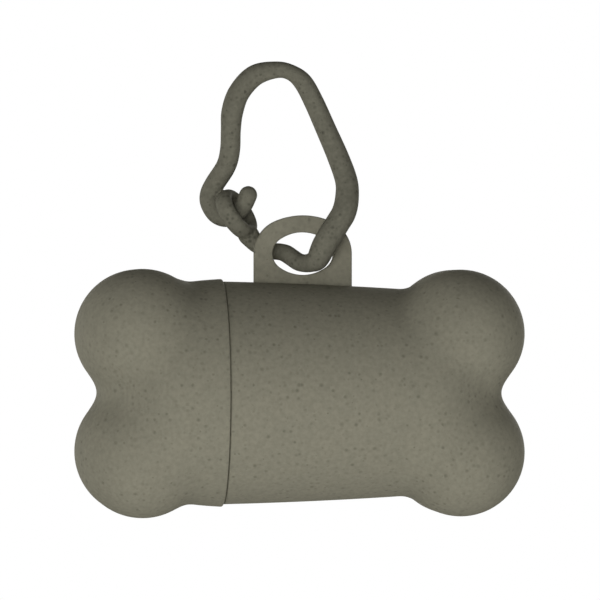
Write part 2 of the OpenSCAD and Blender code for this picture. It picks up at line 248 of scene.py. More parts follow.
@dataclass(frozen=True)
class SpeckledPlastic:
    """Matte moulded plastic with fine dark specks, short fibres and faint clouds."""

    colour: Colour
    cloud: Colour
    speck: Colour
    cell_mm: float = 1.0
    filled: float = 0.85
    least_mm: float = 0.15
    extra_mm: float = 0.36
    softness: float = 0.8
    sway_mm: float = 0.22
    sway_grain_mm: float = 0.5
    fibre_cell_mm: float = 2.1
    fibre_filled: float = 0.3
    fibre_turn: Point = (0.5, 0.4, 0.6)
    fibre_draw: Point = (1.0, 0.3, 1.0)
    cloud_mm: float = 5.0
    mottle_mm: float = 0.75
    grain_mm: float = 0.16
    grain_depth_mm: float = 0.012
    roughness: float = 0.8
    faintest: float = 0.3
    speck_depth: float = 0.62
    fibre_depth: float = 0.66
    grain_strength: float = 0.35
    uneven: float = 0.06
    ior: float = 1.46
    specular: float = 0.02

    def _specks(self, sheet: NodeSheet, where: Channel, cell_mm: float, share: float) -> Channel:
        """Round specks of uneven size and depth.

        Args:
            sheet: The node sheet.
            where: Coordinates in metres.
            cell_mm: Distance between the cells that may hold a speck.
            share: The share of cells that hold one.

        Returns:
            The specks' darkness, 0 between them.
        """
        inputs = {"Vector": where, "Scale": 1.0 / (cell_mm * MM)}
        distance, chance = sheet.node("ShaderNodeTexVoronoi", None, inputs)[:2]
        first, second, third = sheet.node("ShaderNodeSeparateColor", None, {0: chance})[:3]
        radius = (self.least_mm + self.extra_mm * second) / cell_mm
        spot = ((radius - distance) / (radius * self.softness)).clamped()
        return spot * (self.faintest + (1.0 - self.faintest) * third * third) * (first < share)

    def material(self, name: str) -> Material:
        """Builds the material.

        Args:
            name: Its name.

        Returns:
            The material.
        """
        sheet = NodeSheet(bpy.data.materials.new(name))
        here = sheet.here()
        clouds = sheet.noise(here, self.cloud_mm, 4.0)
        colour = sheet.mixed(self.colour, self.cloud, ((clouds - 0.35) * 1.6).clamped())
        mottle = sheet.noise(here, self.mottle_mm, 2.0)
        colour = sheet.mixed(colour, self.speck, (mottle * 0.6 - 0.18).clamped())
        grains = {"Vector": here, "Scale": 1.0 / (self.sway_grain_mm * MM)}
        wander = sheet.node("ShaderNodeTexNoise", None, grains)[1]
        sway = {0: wander, 1: (self.sway_mm * MM,) * 3, 2: here}
        loose = sheet.node("ShaderNodeVectorMath", {"operation": "MULTIPLY_ADD"}, sway)[0]
        fine = self._specks(sheet, loose, self.cell_mm, self.filled)
        drawn = {"Vector": loose, "Rotation": self.fibre_turn, "Scale": self.fibre_draw}
        along = sheet.node("ShaderNodeMapping", None, drawn)[0]
        fibres = self._specks(sheet, along, self.fibre_cell_mm, self.fibre_filled)
        colour = sheet.mixed(colour, self.speck, (fine * self.speck_depth).stronger(fibres * self.fibre_depth))
        grain = sheet.noise(here, self.grain_mm, 2.0)
        return sheet.finish({
            "Base Color": colour,
            "Roughness": self.roughness + self.uneven * (clouds - 0.5),
            "Normal": sheet.bump(grain, self.grain_depth_mm, self.grain_strength),
            "IOR": self.ior,
            "Specular IOR Level": self.specular,
        })


@dataclass(frozen=True)
class BagFilm:
    """Thin film with a soft sheen and fine creases."""

    colour: Colour
    shade: Colour
    crease_mm: float = 1.6
    crease_depth_mm: float = 0.22
    cloud_mm: float = 6.0
    wound_draw: Point = (0.35, 1.0, 1.0)
    loose_draw: Point = (1.0, 1.0, 0.3)
    roughness: float = 0.34
    uneven: float = 0.22
    crease_strength: float = 0.55
    ior: float = 1.5

    def material(self, name: str, wound: bool) -> Material:
        """Builds the material.

        Args:
            name: Its name.
            wound: Whether it is the wound roll, whose creases run round the roll.

        Returns:
            The material.
        """
        sheet = NodeSheet(bpy.data.materials.new(name))
        here = sheet.here()
        stretch = self.wound_draw if wound else self.loose_draw
        along = sheet.node("ShaderNodeMapping", None, {"Vector": here, "Scale": stretch})[0]
        creases = sheet.noise(along, self.crease_mm, 5.0)
        clouds = sheet.noise(here, self.cloud_mm)
        colour = sheet.mixed(self.colour, self.shade, ((clouds - 0.3) * 1.8).clamped())
        return sheet.finish({
            "Base Color": colour,
            "Roughness": self.roughness + self.uneven * creases,
            "Normal": sheet.bump(creases, self.crease_depth_mm, self.crease_strength),
            "IOR": self.ior,
        })


@dataclass(frozen=True)
class CoreBoard:
    """Spirally wound grey-brown board."""

    colour: Colour
    fibre: Colour
    pitch_mm: float = 11.0
    fibre_mm: float = 0.5
    seam_sine: float = 0.992
    relief_mm: float = 0.06
    relief_strength: float = 0.6
    seam_depth: float = 0.8
    roughness: float = 0.85

    def material(self, name: str, axis_mm: Point) -> Material:
        """Builds the material.

        Args:
            name: Its name.
            axis_mm: A point on the tube's axis, which runs along X.

        Returns:
            The material.
        """
        sheet = NodeSheet(bpy.data.materials.new(name))
        here = sheet.here()
        centred = {"Vector": here, "Location": tuple(-value * MM for value in axis_mm)}
        local = sheet.node("ShaderNodeMapping", None, centred)[0]
        x, y, z = sheet.node("ShaderNodeSeparateXYZ", None, {0: local})[:3]
        turn = sheet.node("ShaderNodeMath", {"operation": "ARCTAN2"}, {0: z, 1: y})[0]
        seam = (turn + x * (math.tau / (self.pitch_mm * MM))).sine() > self.seam_sine
        fibres = sheet.noise(here, self.fibre_mm, 5.0)
        colour = sheet.mixed(self.colour, self.fibre, ((fibres - 0.3) * 1.6).clamped())
        colour = sheet.mixed(colour, self.fibre, seam * 0.6)
        return sheet.finish({
            "Base Color": colour,
            "Roughness": self.roughness,
            "Normal": sheet.bump(fibres - seam * self.seam_depth, self.relief_mm, self.relief_strength),
        })


@dataclass(frozen=True)
class Finishes:
    """All finishes of the object."""

    shell: SpeckledPlastic = SpeckledPlastic(
        colour=(0.236, 0.225, 0.171), cloud=(0.222, 0.214, 0.164), speck=(0.092, 0.089, 0.066)
    )
    clip: SpeckledPlastic = SpeckledPlastic(
        colour=(0.17, 0.164, 0.126), cloud=(0.148, 0.143, 0.11), speck=(0.03, 0.029, 0.022), cell_mm=0.8
    )
    film: BagFilm = BagFilm(colour=(0.028, 0.036, 0.03), shade=(0.02, 0.026, 0.022))
    board: CoreBoard = CoreBoard(colour=(0.33, 0.26, 0.17), fibre=(0.22, 0.17, 0.11))


@dataclass(frozen=True)
class Places:
    """Where the object's reference points lie in the frame."""

    hole: Vector
    tab_x: float = 0.4
    hole_up: float = 24.7

    @property
    def bone(self) -> Vector:
        """Middle of the bone."""
        return self.hole - Vector((self.tab_x, 0.0, self.hole_up))


class Workshop:
    """Turns shaped meshes into finished pieces of the frame."""

    def __init__(self) -> None:
        """Starts with no pieces made."""
        self.made: List[str] = []

    def piece(
        self, name: str, shape: Shape, origin: Vector, material: Material,
        body: Body, slot: Slot, sharp_deg: float = 35.0,
    ) -> Object:
        """Places a shape, smooths its shading and lets it ride on a body.

        Args:
            name: The piece's name.
            shape: The shape, in millimetres from origin. It is freed.
            origin: The origin in the frame, in millimetres.
            material: The finish.
            body: The body that carries it.
            slot: The record's material slot; it is not used.
            sharp_deg: Edges that turn more than this stay sharp.

        Returns:
            The finished object.
        """
        place = Matrix.Diagonal((MM, MM, MM, 1.0)) @ Matrix.Translation(origin)
        bmesh.ops.transform(shape, matrix=place, verts=shape.verts)
        mesh = to_mesh(name, shape)
        mesh.materials.clear()
        mesh.materials.append(material)
        mesh.polygons.foreach_set("use_smooth", [True] * len(mesh.polygons))
        mesh.set_sharp_from_angle(angle=math.radians(sharp_deg))
        made = placed(name, mesh)
        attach(made, body.value)
        self.made.append(name)
        LOG.info("%s rides on %s: %d faces", name, body.value, len(mesh.polygons))
        return made


def to_mesh(name: str, shape: Shape) -> bpy.types.Mesh:
    """Turns a shape into a mesh, and frees it.

    Args:
        name: The mesh's name.
        shape: The shape.

    Returns:
        The mesh.
    """
    mesh = bpy.data.meshes.new(name)
    shape.to_mesh(mesh)
    shape.free()
    return mesh


def bead(middle: float, width: float, base_r: float, height: float) -> Profile:
    """Half-round section of a ring that stands on a radius."""
    return [(middle + width / 2.0 * math.cos(a), base_r + height * math.sin(a)) for a in HALF_TURN]


def placed(name: str, data: bpy.types.ID) -> Object:
    """Adds an object to the scene.

    Args:
        name: Its name.
        data: The mesh, camera or lamp that it shows.

    Returns:
        The object.
    """
    made = bpy.data.objects.new(name, data)
    bpy.context.scene.collection.objects.link(made)
    return made


def evaluated(item: Object) -> Shape:
    """What an object's modifiers make of it.

    Args:
        item: The object.

    Returns:
        The shape, as a copy.
    """
    mesh = bpy.data.meshes.new_from_object(item.evaluated_get(bpy.context.evaluated_depsgraph_get()))
    shape = bmesh.new()
    shape.from_mesh(mesh)
    bpy.data.meshes.remove(mesh)
    return shape


def joined(shapes: Sequence[Shape]) -> Shape:
    """Several shapes as one.

    Args:
        shapes: The shapes, which are freed.

    Returns:
        The one shape.
    """
    whole = bmesh.new()
    for shape in shapes:
        mesh = to_mesh("part", shape)
        whole.from_mesh(mesh)
        bpy.data.meshes.remove(mesh)
    return whole


def merged(shapes: Sequence[Shape], gap: float) -> Shape:
    """Joins shapes into one, merges the points that meet and turns the faces outwards.

    Args:
        shapes: The shapes, which are freed.
        gap: How far apart points may be that are one.

    Returns:
        The joined shape.
    """
    whole = joined(shapes)
    bmesh.ops.remove_doubles(whole, verts=whole.verts, dist=gap)
    return outward(whole)


def outward(shape: Shape) -> Shape:
    """The same shape, with its faces turned outwards."""
    bmesh.ops.recalc_face_normals(shape, faces=shape.faces)
    return shape


def line(shape: Shape, points: Sequence[Point], closed: bool) -> List[bmesh.types.BMEdge]:
    """Adds a line of edges to a shape.

    Args:
        shape: The shape.
        points: The line's points in order.
        closed: Whether it runs back to its first point.

    Returns:
        The new edges in order.
    """
    verts = [shape.verts.new(point) for point in points]
    pairs = zip(verts, verts[1:] + verts[:1] if closed else verts[1:])
    return [shape.edges.new(pair) for pair in pairs]


def spun(shape: Shape, axis: Point, steps: int) -> Shape:
    """Turns a shape's line fully round an axis through the origin.

    Args:
        shape: The shape, a line so far.
        axis: The axis.
        steps: Steps of the full turn.

    Returns:
        The same shape.
    """
    line_parts = list(shape.verts) + list(shape.edges)
    bmesh.ops.spin(shape, geom=line_parts, cent=(0, 0, 0), axis=axis, angle=math.tau, steps=steps, use_merge=True)
    return shape


def turned(profile: Profile, columns: int) -> Shape:
    """Turns a profile round the X axis.

    Args:
        profile: Points as (place along X, radius).
        columns: Steps of the full turn.

    Returns:
        The turned shape, its poles closed.
    """
    shape = bmesh.new()
    line(shape, [(along, 0.0, radius) for along, radius in profile], False)
    spun(shape, (1.0, 0.0, 0.0), columns)
    bmesh.ops.remove_doubles(shape, verts=shape.verts, dist=1e-5)
    return shape


def difference(name: str, shape: Shape, tool: Shape) -> Shape:
    """Cuts one closed shape out of another.

    Args:
        name: Name for the working objects.
        shape: The shape to cut, which is freed.
        tool: The shape taken away, which is freed.

    Returns:
        The cut shape.
    """
    objects = [placed(name, to_mesh(name, part)) for part in (shape, tool)]
    change = objects[0].modifiers.new("cut", "BOOLEAN")
    change.operation = "DIFFERENCE"
    change.solver = "EXACT"
    change.object = objects[1]
    result = evaluated(objects[0])
    bmesh.ops.dissolve_degenerate(result, edges=result.edges, dist=SLIVER)
    for item in objects:
        bpy.data.objects.remove(item)
    return result


def eased(before: Curved, here: Curved, after: Curved, beyond: Curved, t: float) -> Curved:
    """A place on the smooth curve through four points.

    Args:
        before: The point before the stretch.
        here: The stretch's first point.
        after: Its last point.
        beyond: The point after it.
        t: Share of the way from here to after.

    Returns:
        The place.
    """
    return (
        2 * here + (after - before) * t
        + (2 * before - 5 * here + 4 * after - beyond) * t**2
        + (3 * here - before - 3 * after + beyond) * t**3
    ) / 2.0


def soft_min(first: np.ndarray, second: np.ndarray, width: np.ndarray) -> np.ndarray:
    """The distances from two forms together, which run into each other over a width."""
    share = np.maximum(width - np.abs(first - second), 0.0) / width
    return np.minimum(first, second) - share * share * width / 4.0


@dataclass(frozen=True)
class HalfForm:
    """Half of the bone, measured outwards from the bone's middle: a barrel and two balls."""

    seam: float
    seam_r: float
    far_r: float
    taper: float
    end: float
    end_round: float
    ball_x: float
    ball_z: float
    ball_r: float
    eye: float
    stretch: float = 5.2
    crease: float = 1.8
    crease_side: float = 4.2
    notch: float = 5.4
    notch_side: float = 7.2
    side_y: float = 16.8
    rim_round: float = 0.3
    columns: int = 168
    fan: int = 110
    inner_fan: int = 44

    def barrel_r(self, along: np.ndarray) -> np.ndarray:
        """Radius of the barrel, which narrows a little faster towards the far end."""
        share = np.maximum((along - self.seam) / self.taper, 0.0)
        return self.seam_r - (self.seam_r - self.far_r) * share * (0.5 + 0.5 * share)

    def gap(self, points: np.ndarray) -> np.ndarray:
        """Distance of points from the form, negative inside.

        Args:
            points: Rows of x, y, z.

        Returns:
            One distance a row.
        """
        x, y, z = points.T
        start = self.end - self.end_round
        along = x - start
        across = np.hypot(y, z) - (self.barrel_r(np.minimum(x, start)) - self.end_round)
        outer = np.hypot(np.maximum(along, 0.0), np.maximum(across, 0.0))
        barrel = outer + np.minimum(np.maximum(along, across), 0.0) - self.end_round
        aside = (y / self.side_y) ** 2
        drawn = np.maximum(np.abs(y) - self.stretch, 0.0)
        upper, lower = (
            np.sqrt((x - self.ball_x) ** 2 + drawn**2 + (z - side * self.ball_z) ** 2) - self.ball_r
            for side in (1.0, -1.0)
        )
        pair = soft_min(upper, lower, self.notch + (self.notch_side - self.notch) * aside)
        return soft_min(barrel, pair, self.crease + (self.crease_side - self.crease) * aside)

    def edge_trim(self, along: np.ndarray) -> np.ndarray:
        """What the rounded rim takes off the radius, at places along the bone."""
        left = np.maximum(self.rim_round - (along - self.seam), 0.0)
        return self.rim_round - np.sqrt(np.maximum(self.rim_round**2 - left**2, 0.0))

    def outer(self, rings: int) -> Shape:
        """The outer skin from its rim to the pole.

        Args:
            rings: Rings between the rounded rim and the eye.

        Returns:
            The skin.
        """
        rim = [self.rim_round * share for share in (0.0, 0.03, 0.12, 0.3, 0.55, 1.0)]
        shape = turned(seed(self.seam, self.eye, rim, rings, self.fan), self.columns)
        return cast(shape, self.eye, self.gap, self.edge_trim)

    def inner(self, mouth: float, first: float, rings: int, wall: float, bore_r: float) -> Shape:
        """The skin of the hollow from its mouth to the pole: one wall in, and no wider than the bore.

        Args:
            mouth: Place of its mouth.
            first: Distance from the mouth to the second ring.
            rings: Rings between that and the rounded end.
            wall: Thickness of the wall round it.
            bore_r: Radius of the bore.

        Returns:
            The skin.
        """
        eye = self.end - self.end_round
        shape = turned(seed(mouth, eye, [0.0, first], rings, self.inner_fan), self.columns)
        return cast(
            shape, eye, lambda at: np.maximum(self.gap(at) + wall, np.hypot(at[:, 1], at[:, 2]) - bore_r)
        )


def seed(start: float, eye: float, rim: Sequence[float], rings: int, fan: int) -> Profile:
    """A thin line along the axis and round its end, whose points are later cast onto a skin.

    Args:
        start: Place of the first ring.
        eye: Place that the end is seen from.
        rim: Distances of the first rings from start.
        rings: Rings between the rim and the eye.
        fan: Rings between the eye and the pole.

    Returns:
        The profile, one millimetre from the axis and from the eye.
    """
    last = start + rim[-1]
    edge = [(start + step, 1.0) for step in rim]
    side = [(last + (eye - last) * step / rings, 1.0) for step in range(1, rings + 1)]
    turn = [math.pi / 2 * (1.0 - step / fan) for step in range(1, fan + 1)]
    return edge + side + [(eye + math.cos(a), math.sin(a) if a > 1e-6 else 0.0) for a in turn]


def cast(shape: Shape, eye: float, skin: Skin, trim: Optional[Skin] = None) -> Shape:
    """Moves the points of a seeded shape out onto a skin.

    Args:
        shape: The turned seed.
        eye: Place on the axis that the end is seen from.
        skin: Distance from the skin, negative inside.
        trim: What is taken off the radius at places along the axis.

    Returns:
        The same shape.
    """
    at = np.array([vert.co for vert in shape.verts], dtype=float)
    start = np.zeros_like(at)
    start[:, 0] = np.minimum(at[:, 0], eye)
    way = at - start
    way /= np.linalg.norm(way, axis=1, keepdims=True)
    near = np.zeros(len(at))
    far = np.full(len(at), FARTHEST_SKIN)
    for _ in range(HALVINGS):
        middle = (near + far) / 2.0
        inside = skin(start + way * middle[:, None]) < 0.0
        near = np.where(inside, middle, near)
        far = np.where(inside, far, middle)
    out = (near + far) / 2.0
    if trim is not None:
        out = out - trim(start[:, 0])
    for vert, place in zip(shape.verts, start + way * out[:, None]):
        vert.co = place
    return shape


@dataclass
class BagSlot:
    """The slot in the back that the bags leave by, with a rounded outer lip."""

    length: float = 30.0
    height: float = 9.0
    middle: float = 4.0
    lip: float = 0.45
    inwards: float = 7.0
    flare: Profile = field(default_factory=lambda: [(0.25, 0.35), (0.2, 3.0)])
    end_steps: int = 16

    def outline(self, grow: float) -> List[Tuple[float, float]]:
        """Points of the slot's rounded outline.

        Args:
            grow: How far the outline is grown on all sides.

        Returns:
            Points as (x, z) from the bone's middle.
        """
        r = self.height / 2.0
        half = self.length / 2.0 - r
        points = []
        for side, first in ((1.0, -90.0), (-1.0, 90.0)):
            for step in range(self.end_steps + 1):
                a = math.radians(first + 180.0 * step / self.end_steps)
                x = self.middle + side * half + (r + grow) * math.cos(a)
                points.append((x, (r + grow) * math.sin(a)))
        return points

    def cutter(self, form: HalfForm) -> Shape:
        """The shape that is cut out of the back: it flares where it meets the skin.

        Args:
            form: The half of the bone that is cut.

        Returns:
            The closed cutter.
        """
        rows = [(0.0, -self.inwards), (0.0, -self.lip)]
        for a in (25.0, 45.0, 62.0):
            turn = math.radians(a)
            rows.append((self.lip * (1.0 - math.cos(turn)), -self.lip * (1.0 - math.sin(turn))))
        for wider, rise in self.flare:
            rows.append((rows[-1][0] + wider, rise))
        shape = bmesh.new()
        rings = []
        for grow, rise in rows:
            ring = []
            for x, z in self.outline(grow):
                skin_r = float(form.barrel_r(np.array([x]))[0])
                ring.append((x, math.sqrt(skin_r**2 - z**2) + rise, z))
            rings.append(line(shape, ring, True))
        for first, second in zip(rings, rings[1:]):
            bmesh.ops.bridge_loops(shape, edges=first + second)
        for ring_edges in (rings[0], rings[-1]):
            bmesh.ops.contextual_create(shape, geom=ring_edges)
        return outward(shape)


@dataclass(frozen=True)
class Oval:
    """An oval of four arcs: two tight ends, and two flatter sides that run into them."""

    half_w: float
    half_h: float
    end_r: float
    arc_steps: int = 20

    def points(self, y: float, full: bool) -> List[Point]:
        """Points of the oval, or of its upper side only.

        Args:
            y: Place of its plane.
            full: Whether the lower side is there too.

        Returns:
            The points, from right to left over the top.
        """
        end_x = self.half_w - self.end_r
        side_r = (end_x**2 + self.half_h**2 - self.end_r**2) / (2.0 * (self.half_h - self.end_r))
        side_z = side_r - self.half_h
        turn = math.degrees(math.atan2(side_z, end_x))
        first = -turn if full else 0.0
        arcs = [
            (end_x, 0.0, self.end_r, first, turn),
            (0.0, -side_z, side_r, turn, 180.0 - turn),
            (-end_x, 0.0, self.end_r, 180.0 - turn, 180.0 - first),
        ]
        if full:
            arcs.append((0.0, side_z, side_r, 180.0 + turn, 360.0 - turn))
        points = []
        for x, z, r, start, stop in arcs:
            for step in range(self.arc_steps):
                a = math.radians(start + (stop - start) * step / self.arc_steps)
                points.append((x + r * math.cos(a), y, z + r * math.sin(a)))
        return points


@dataclass
class HangingTab:
    """Upright tab with its oval hole, which the clip hangs the bone by."""

    thick: float = 2.2
    top: Oval = Oval(half_w=8.7, half_h=6.8, end_r=6.3)
    hole: Oval = Oval(half_w=5.425, half_h=3.775, end_r=3.0)
    foot: float = 7.1
    edge: float = 0.28
    edge_steps: int = 4
    corner_deg: float = 60.0

    def shape(self) -> Shape:
        """Builds the tab and rounds its edges.

        Returns:
            The tab, measured from the middle of its hole.
        """
        half = self.top.half_w
        y = -self.thick / 2.0
        outer = [(half, y, -self.foot)] + self.top.points(y, False) + [(-half, y, 0.0), (-half, y, -self.foot)]
        shape = bmesh.new()
        for loop in (outer, self.hole.points(y, True)):
            line(shape, loop, True)
        bmesh.ops.triangle_fill(shape, edges=list(shape.edges), use_beauty=True)
        grown = bmesh.ops.extrude_face_region(shape, geom=list(shape.faces))["geom"]
        bmesh.ops.translate(
            shape, vec=(0.0, self.thick, 0.0), verts=[g for g in grown if isinstance(g, bmesh.types.BMVert)]
        )
        outward(shape)
        corner = math.radians(self.corner_deg)
        rims = [e for e in shape.edges if len(e.link_faces) == 2 and e.calc_face_angle() > corner]
        rims = [e for e in rims if abs(e.verts[0].co.y - e.verts[1].co.y) < 1e-6]
        bmesh.ops.bevel(
            shape, geom=rims, offset=self.edge, offset_type="OFFSET", segments=self.edge_steps,
            profile=0.5, affect="EDGES", material=-1,
        )
        return shape


@dataclass
class DispenserBody:
    """The long half of the bone: outer skin, neck, bore, slot and hanging tab."""

    places: Places
    plastic: Material
    form: HalfForm = HalfForm(
        seam=-13.9, seam_r=19.75, far_r=18.4, taper=32.3, end=30.6, end_round=10.7,
        ball_x=28.0, ball_z=10.5, ball_r=11.35, eye=10.0,
    )
    bore_r: float = 16.8
    neck_wall: float = 1.5
    neck_len: float = 6.0
    bead_h: float = 0.2
    bead_w: float = 1.4
    root_round: float = 0.15
    nose_slope: float = 0.6
    nose_round: float = 0.2
    end_wall: float = 1.3
    slot: BagSlot = field(default_factory=BagSlot)
    tab: HangingTab = field(default_factory=HangingTab)

    def _neck(self) -> Shape:
        """Turns the seam face and the neck.

        Returns:
            The surface from the skin's rim to the bore.
        """
        root = self.form.seam
        neck_r = self.bore_r + self.neck_wall
        rim = (root, self.form.seam_r - self.form.rim_round)
        shoulder = [rim, (root, neck_r + self.root_round), (root - self.root_round, neck_r)]
        nose = root - self.neck_len
        slope, soft = self.nose_slope, self.nose_round
        outside = [(nose + slope, neck_r), (nose + soft, neck_r - 0.25), (nose, neck_r - slope)]
        inside = [(nose, self.bore_r + soft), (nose + 0.06, self.bore_r + 0.06), (nose + soft, self.bore_r)]
        ring = bead(root - self.neck_len / 2.0, self.bead_w, neck_r, self.bead_h)
        return turned(shoulder + ring + outside + inside, self.form.columns)

    def _shell(self) -> Shape:
        """Joins the body's surfaces and cuts the slot.

        Returns:
            The closed shell.
        """
        mouth = self.form.seam - self.neck_len + self.nose_round
        inner = self.form.inner(mouth, 0.4, 30, self.end_wall, self.bore_r)
        whole = merged([self.form.outer(34), self._neck(), inner], SKIN_GAP)
        return difference("shell", whole, self.slot.cutter(self.form))

    def build(self, shop: Workshop) -> None:
        """Builds the shell and the tab.

        Args:
            shop: Where pieces are finished.
        """
        ride = (self.plastic, Body.DISPENSER, Slot.SHELL)
        shell = shop.piece("body_shell", self._shell(), self.places.bone, *ride)
        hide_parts("dispenser_body")
        shop.piece("hanging_tab", self.tab.shape(), self.places.hole, *ride, sharp_deg=50.0)


@dataclass
class EndCap:
    """The short half of the bone, pushed onto the neck."""

    places: Places
    plastic: Material
    form: HalfForm = HalfForm(
        seam=13.97, seam_r=20.2, far_r=19.6, taper=6.65, end=31.0, end_round=10.6,
        ball_x=28.4, ball_z=10.45, ball_r=11.5, eye=16.2,
    )
    skirt_r: float = 18.6
    skirt_end: float = 20.15
    bore_r: float = 17.8
    bead_x: float = 16.9
    bead_w: float = 1.4
    groove: float = 0.3
    mouth_round: float = 0.25
    end_wall: float = 1.3

    def _skirt(self) -> Shape:
        """Turns the rim's face and the inside of the skirt, with the groove for the neck's bead.

        Returns:
            The surface from the skin's rim to the bore.
        """
        root = self.form.seam
        groove = bead(self.bead_x, -self.bead_w, self.skirt_r, self.groove)
        face = [(root, self.form.seam_r - self.form.rim_round), (root, self.skirt_r + self.mouth_round)]
        mouth = [(root + 0.1, self.skirt_r + 0.08), (root + self.mouth_round, self.skirt_r)]
        step = [(self.skirt_end, self.skirt_r), (self.skirt_end, self.bore_r)]
        return turned(face + mouth + groove + step, self.form.columns)

    def build(self, shop: Workshop) -> None:
        """Builds the cap.

        Args:
            shop: Where pieces are finished.
        """
        inner = self.form.inner(self.skirt_end, 0.1, 2, self.end_wall, self.bore_r)
        shape = merged([self.form.outer(5), self._skirt(), inner], SKIN_GAP)
        bmesh.ops.scale(shape, vec=(-1.0, 1.0, 1.0), verts=shape.verts)
        cap = shop.piece("cap_shell", outward(shape), self.places.bone, self.plastic, Body.CAP, Slot.SHELL)
        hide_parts("end_cap")


@dataclass
class Clip:
    """The springy clip: a round strand through the tab, with a hook that goes through its own eye."""

    places: Places
    plastic: Material
    eye_at: Point = (-11.55, 3.15, 7.05)
    eye_axis: Point = (0.755, -0.39, 0.525)
    eye_r: float = 2.65
    eye_wall: float = 2.2
    eye_h: float = 3.2
    steps: int = 10
    sides: int = 28
    tip_angles: Tuple[float, ...] = (86.0, 72.0, 56.0, 40.0, 26.0, 12.0)
    section_steps: int = 24
    turn_steps: int = 64
    weld_mm: float = 0.15
    smoothings: int = 4

    def route(self) -> List[Tuple[float, float, float, float]]:
        """The strand's way, from the hook's tip round the loop to the eye.

        Returns:
            Rows of x, y, z of its middle line, and its radius there.
        """
        front = -3.75
        behind = 3.15
        dip = -1.725
        return [
            (-9.65, 0.6, 10.4, 1.62), (-10.4, 1.9, 8.6, 1.62), (-11.55, behind, 7.05, 1.55), (-13.1, 4.7, 6.35, 1.6),
            (-14.85, 5.4, 7.0, 1.68), (-16.05, 5.6, 8.85, 1.72), (-16.15, 5.7, 10.55, 1.76), (-15.3, 4.9, 12.45, 1.8),
            (-13.4, 3.3, 15.6, 1.8), (-12.8, 1.6, 18.45, 1.8), (-12.75, 0.5, 22.0, 1.8), (-12.5, 0.0, 25.3, 1.96),
            (-11.25, 0.0, 28.7, 1.96), (-8.45, 0.0, 31.65, 1.9), (-4.6, 0.0, 32.63, 1.5), (-2.1, 0.0, 32.15, 1.44),
            (0.05, 0.0, 30.45, 1.7), (1.95, 0.0, 27.05, 1.78), (4.2, -0.3, 21.95, 1.84), (6.3, -1.0, 16.95, 1.94),
            (7.65, -1.8, 12.75, 2.02), (7.6, -2.8, 9.55, 2.14), (7.0, -3.5, 7.25, 2.2), (6.0, front, 5.55, 2.2),
            (3.65, front, 1.75, 2.2), (2.4, -3.1, -0.9, 2.0), (1.35, -2.0, -1.58, 1.72), (0.3, -0.8, dip, 1.6),
            (-0.7, 0.5, -1.45, 1.6), (-1.65, 1.5, -0.77, 1.6), (-2.65, 2.4, -0.03, 1.6), (-3.65, 2.95, 0.33, 1.52),
            (-4.75, behind, 0.45, 1.5), (-6.5, behind + 0.1, 0.9, 1.52), (-8.1, behind, 1.85, 1.6),
            (-9.55, 2.85, 3.5, 1.88), (-10.35, 1.7, 3.95, 1.3), (-11.05, 0.7, 4.4, 0.95),
        ]

    def _path(self) -> np.ndarray:
        """A smooth line through the route's points.

        Returns:
            Rows of x, y, z, radius.
        """
        points = np.array(self.route())
        padded = np.vstack([points[:1], points, points[-1:]])
        rows = []
        for before, here, after, beyond in zip(padded, padded[1:], padded[2:], padded[3:]):
            for step in range(self.steps):
                rows.append(eased(before, here, after, beyond, step / self.steps))
        rows.append(points[-1])
        return np.array(rows)

    def _strand(self) -> Shape:
        """Extrudes the strand ring by ring, with a round nose on its hook.

        Returns:
            The closed strand.
        """
        path = self._path()
        way = np.gradient(path[:, :3], axis=0)
        way /= np.linalg.norm(way, axis=1, keepdims=True)
        tip = []
        for a in np.radians(self.tip_angles):
            middle = path[0, :3] - way[0] * path[0, 3] * math.sin(a)
            tip.append((*middle, path[0, 3] * math.cos(a)))
        path = np.vstack([tip, path])
        way = np.vstack([[way[0]] * len(tip), way])
        upright = Vector((0.0, 1.0, 0.0))
        frames = []
        for row, direction in zip(path, way):
            forward = Vector(direction)
            upright = (upright - upright.dot(forward) * forward).normalized()
            turn = Matrix((upright.cross(forward), upright, forward)).transposed().to_4x4()
            size = Matrix.Diagonal((row[3], row[3], 1.0, 1.0))
            frames.append(Matrix.Translation(Vector(row[:3])) @ turn @ size)
        shape = bmesh.new()
        verts = bmesh.ops.create_circle(shape, segments=self.sides, radius=1.0)["verts"]
        bmesh.ops.transform(shape, matrix=frames[0], verts=verts)
        ring = list(shape.edges)
        for last, frame in zip(frames, frames[1:]):
            grown = bmesh.ops.extrude_edge_only(shape, edges=ring)["geom"]
            verts = [g for g in grown if isinstance(g, bmesh.types.BMVert)]
            ring = [g for g in grown if isinstance(g, bmesh.types.BMEdge)]
            bmesh.ops.transform(shape, matrix=frame @ last.inverted(), verts=verts)
        bmesh.ops.holes_fill(shape, edges=shape.edges, sides=self.sides)
        return outward(shape)

    def _eye(self) -> Shape:
        """Turns the eye: a band of oval section round its own axis.

        Returns:
            The closed eye.
        """
        shape = bmesh.new()
        middle = self.eye_r + self.eye_wall / 2.0
        section = []
        for step in range(self.section_steps):
            a = math.tau * step / self.section_steps
            section.append((middle + self.eye_wall / 2.0 * math.cos(a), 0.0, self.eye_h / 2.0 * math.sin(a)))
        line(shape, section, True)
        spun(shape, (0.0, 0.0, 1.0), self.turn_steps)
        turn = Vector(self.eye_axis).to_track_quat("Z", "Y").to_matrix().to_4x4()
        bmesh.ops.transform(shape, matrix=Matrix.Translation(self.eye_at) @ turn, verts=shape.verts)
        return outward(shape)

